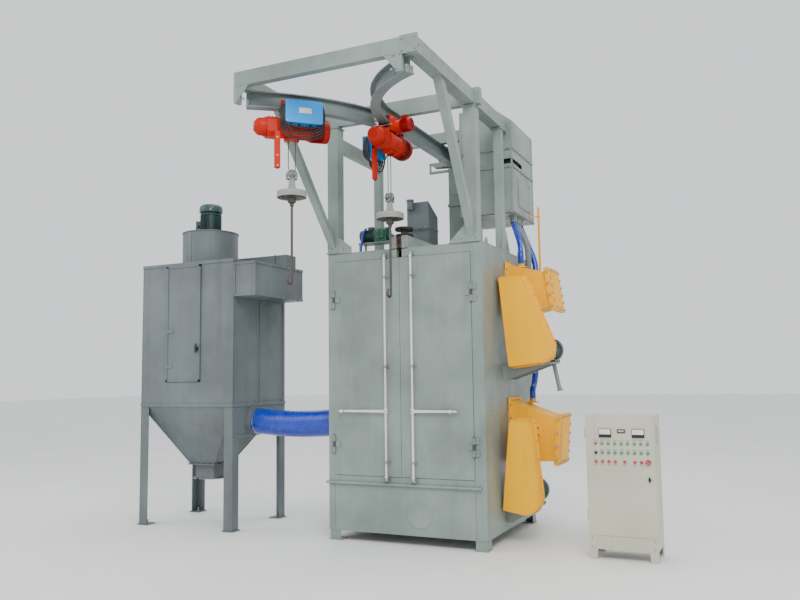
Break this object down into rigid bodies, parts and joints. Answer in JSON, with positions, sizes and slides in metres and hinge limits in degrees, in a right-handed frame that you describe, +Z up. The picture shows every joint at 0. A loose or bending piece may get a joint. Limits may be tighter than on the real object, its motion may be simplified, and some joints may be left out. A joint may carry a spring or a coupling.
{
  "type": "hook-type blast cleaning machine",
  "caption": "Twin-hook overhead-rail blast cabinet with swinging doors, bucket elevator, separator, blast wheels, dust collector and control cabinet.",
  "frame": {"origin": "centre of the blast chamber's anchor-bolt rectangle, on the floor", "axes": "+X to the right along the door face, +Y to the rear, +Z up; the doors face -Y"},
  "size_m": [5.915, 3.541, 4.8],
  "materials": {
    "cabinet_paint": "satin",
    "bare_steel": "rough",
    "rail_paint": "satin",
    "black_rubber": "matte",
    "motor_paint": "satin",
    "yellow_paint": "semi-gloss",
    "blue_hose": "gloss",
    "collector_paint": "satin",
    "filter_paper": "matte",
    "panel_paint": "satin",
    "instrument_plastic": "gloss",
    "cream_paint": "satin",
    "hoist_paint": "semi-gloss",
    "rope_steel": "satin",
    "worn_steel": "worn",
    "green_plastic": "gloss",
    "red_plastic": "gloss",
    "black_plastic": "matte"
  },
  "bodies": {
    "machine": {"chamber_shell": "cabinet_paint", "cabinet_feet": "cabinet_paint", "hopper_pan": "cabinet_paint", "wear_liners": "bare_steel", "floor_grating": "bare_steel", "roof_slot_channel": "cabinet_paint", "door_fittings": "cabinet_paint", "overhead_frame": "cabinet_paint", "monorail_track": "rail_paint", "elevator_casing": "cabinet_paint", "bucket_belt": "black_rubber", "elevator_drive": "motor_paint", "separator_box": "cabinet_paint", "wheel_casing_upper": "yellow_paint", "wheel_casing_lower": "yellow_paint", "belt_guard_upper": "yellow_paint", "belt_guard_lower": "yellow_paint", "wheel_motors": "motor_paint", "drive_belts": "black_rubber", "feed_hoses": "blue_hose", "feed_pipes": "rail_paint", "spin_drive": "motor_paint", "roof_vent_box": "collector_paint", "duct_hose": "blue_hose", "collector_body": "collector_paint", "collector_hopper": "collector_paint", "filter_cartridges": "filter_paper", "fan_casing": "collector_paint", "fan_motor": "motor_paint", "exhaust_duct": "collector_paint", "control_cabinet_body": "panel_paint", "mounting_plate": "bare_steel"},
    "door_left": {"door_left": "cabinet_paint"},
    "door_right": {"door_right": "cabinet_paint"},
    "lock_rod_left": {"lock_rod_left": "cream_paint"},
    "lock_rod_right": {"lock_rod_right": "cream_paint"},
    "hoist_left": {"hoist_left": "hoist_paint", "rope_left": "rope_steel"},
    "hoist_right": {"hoist_right": "hoist_paint", "rope_right": "rope_steel"},
    "hook_block_left": {"hook_block_left": "rail_paint"},
    "hook_block_right": {"hook_block_right": "rail_paint"},
    "hook_rod_left": {"hook_rod_left": "worn_steel"},
    "hook_rod_right": {"hook_rod_right": "worn_steel"},
    "friction_wheel": {"friction_wheel": "black_rubber"},
    "impeller_upper": {"impeller_upper": "bare_steel"},
    "impeller_lower": {"impeller_lower": "bare_steel"},
    "motor_pulley_upper": {"motor_pulley_upper": "bare_steel"},
    "motor_pulley_lower": {"motor_pulley_lower": "bare_steel"},
    "elevator_drum": {"elevator_drum": "bare_steel"},
    "screw_conveyor": {"screw_conveyor": "bare_steel"},
    "fan_impeller": {"fan_impeller": "bare_steel"},
    "collector_door": {"collector_door": "collector_paint"},
    "ash_valve": {"ash_valve": "bare_steel"},
    "control_door": {"control_door": "panel_paint", "panel_instruments": "instrument_plastic"},
    "start_buttons": {"start_buttons": "green_plastic"},
    "stop_buttons": {"stop_buttons": "red_plastic"},
    "emergency_stop": {"emergency_stop": "red_plastic"},
    "selector_switch": {"selector_switch": "black_plastic"}
  },
  "joints": [
    {"name": "door_left_hinge", "type": "hinge", "parent": "machine", "child": "door_left", "pos_m": [-0.808, -0.897, 1.77], "axis": [0, 0, -1], "range_deg": [0, 100]},
    {"name": "door_right_hinge", "type": "hinge", "parent": "machine", "child": "door_right", "pos_m": [0.768, -0.897, 1.77], "axis": [0, 0, 1], "range_deg": [0, 100]},
    {"name": "lock_rod_left_turn", "type": "hinge", "parent": "door_left", "child": "lock_rod_left", "pos_m": [-0.185, -0.915, 1.35], "axis": [0, 0, 1], "range_deg": [0, 85]},
    {"name": "lock_rod_right_turn", "type": "hinge", "parent": "door_right", "child": "lock_rod_right", "pos_m": [0.12, -0.915, 1.35], "axis": [0, 0, -1], "range_deg": [0, 85]},
    {"name": "hoist_left_travel", "type": "hinge", "parent": "machine", "child": "hoist_left", "pos_m": [-2.225, -0.346, 4.32], "axis": [0, 0, 1], "range_deg": [0, 5]},
    {"name": "hoist_right_travel", "type": "hinge", "parent": "machine", "child": "hoist_right", "pos_m": [1.265, -1.085, 4.32], "axis": [0, 0, 1], "range_deg": [0, 35]},
    {"name": "hook_left_lift", "type": "slide", "parent": "hoist_left", "child": "hook_block_left", "axis": [0, 0, 1], "range_m": [-1.8, 0.15], "deforming": ["rope_left"]},
    {"name": "hook_right_lift", "type": "slide", "parent": "hoist_right", "child": "hook_block_right", "axis": [0, 0, 1], "range_m": [-1.6, 0.15], "deforming": ["rope_right"]},
    {"name": "hook_left_turn", "type": "hinge", "parent": "hook_block_left", "child": "hook_rod_left", "pos_m": [-0.683, -1.91515, 3.48], "axis": [0, 0, 1], "continuous": true},
    {"name": "hook_right_turn", "type": "hinge", "parent": "hook_block_right", "child": "hook_rod_right", "pos_m": [-0.025, -1.085, 3.35], "axis": [0, 0, 1], "continuous": true},
    {"name": "friction_wheel_turn", "type": "hinge", "parent": "machine", "child": "friction_wheel", "pos_m": [-0.285, -0.175, 3.3], "axis": [0, 0, 1], "continuous": true},
    {"name": "impeller_upper_spin", "type": "hinge", "parent": "machine", "child": "impeller_upper", "pos_m": [1.085, 0.1, 2.59], "axis": [0, 1, 0], "continuous": true},
    {"name": "impeller_lower_spin", "type": "hinge", "parent": "machine", "child": "impeller_lower", "pos_m": [1.115, 0.1, 1.11], "axis": [0, 1, 0], "continuous": true},
    {"name": "motor_upper_spin", "type": "hinge", "parent": "machine", "child": "motor_pulley_upper", "pos_m": [1.33, -0.4, 1.965], "axis": [0, 1, 0], "continuous": true},
    {"name": "motor_lower_spin", "type": "hinge", "parent": "machine", "child": "motor_pulley_lower", "pos_m": [1.13, -0.4, 0.49], "axis": [0, 1, 0], "continuous": true},
    {"name": "elevator_drum_spin", "type": "hinge", "parent": "machine", "child": "elevator_drum", "pos_m": [0.09, 1.033, 4.56], "axis": [1, 0, 0], "continuous": true},
    {"name": "screw_spin", "type": "hinge", "parent": "machine", "child": "screw_conveyor", "pos_m": [0.05, 0, 0.28], "axis": [0, 1, 0], "continuous": true},
    {"name": "fan_spin", "type": "hinge", "parent": "machine", "child": "fan_impeller", "pos_m": [-2.85, -0.4355, 3.27], "axis": [0, 0, 1], "continuous": true},
    {"name": "collector_door_hinge", "type": "hinge", "parent": "machine", "child": "collector_door", "pos_m": [-3.072, -0.976, 2.4], "axis": [0, 0, -1], "range_deg": [0, 110]},
    {"name": "ash_valve_swing", "type": "hinge", "parent": "machine", "child": "ash_valve", "pos_m": [-2.955, -0.5455, 0.512], "axis": [0, 0, 1], "range_deg": [0, 90]},
    {"name": "control_door_hinge", "type": "hinge", "parent": "machine", "child": "control_door", "pos_m": [1.824, -0.734, 0.77], "axis": [0, 0, -1], "range_deg": [0, 110]},
    {"name": "start_buttons_press", "type": "slide", "parent": "control_door", "child": "start_buttons", "axis": [0, 1, 0], "range_m": [0, 0.004], "stiffness_N_per_m": 600},
    {"name": "stop_buttons_press", "type": "slide", "parent": "control_door", "child": "stop_buttons", "axis": [0, 1, 0], "range_m": [0, 0.004], "stiffness_N_per_m": 600},
    {"name": "emergency_stop_press", "type": "slide", "parent": "control_door", "child": "emergency_stop", "axis": [0, 1, 0], "range_m": [0, 0.005]},
    {"name": "selector_turn", "type": "hinge", "parent": "control_door", "child": "selector_switch", "pos_m": [1.923, -0.744, 0.973], "axis": [0, 1, 0], "range_deg": [-45, 45]}
  ],
  "couplings": [
    {"joint": "motor_upper_spin", "follows": "impeller_upper_spin", "ratio": 1.25},
    {"joint": "motor_lower_spin", "follows": "impeller_lower_spin", "ratio": 1.25}
  ]
}
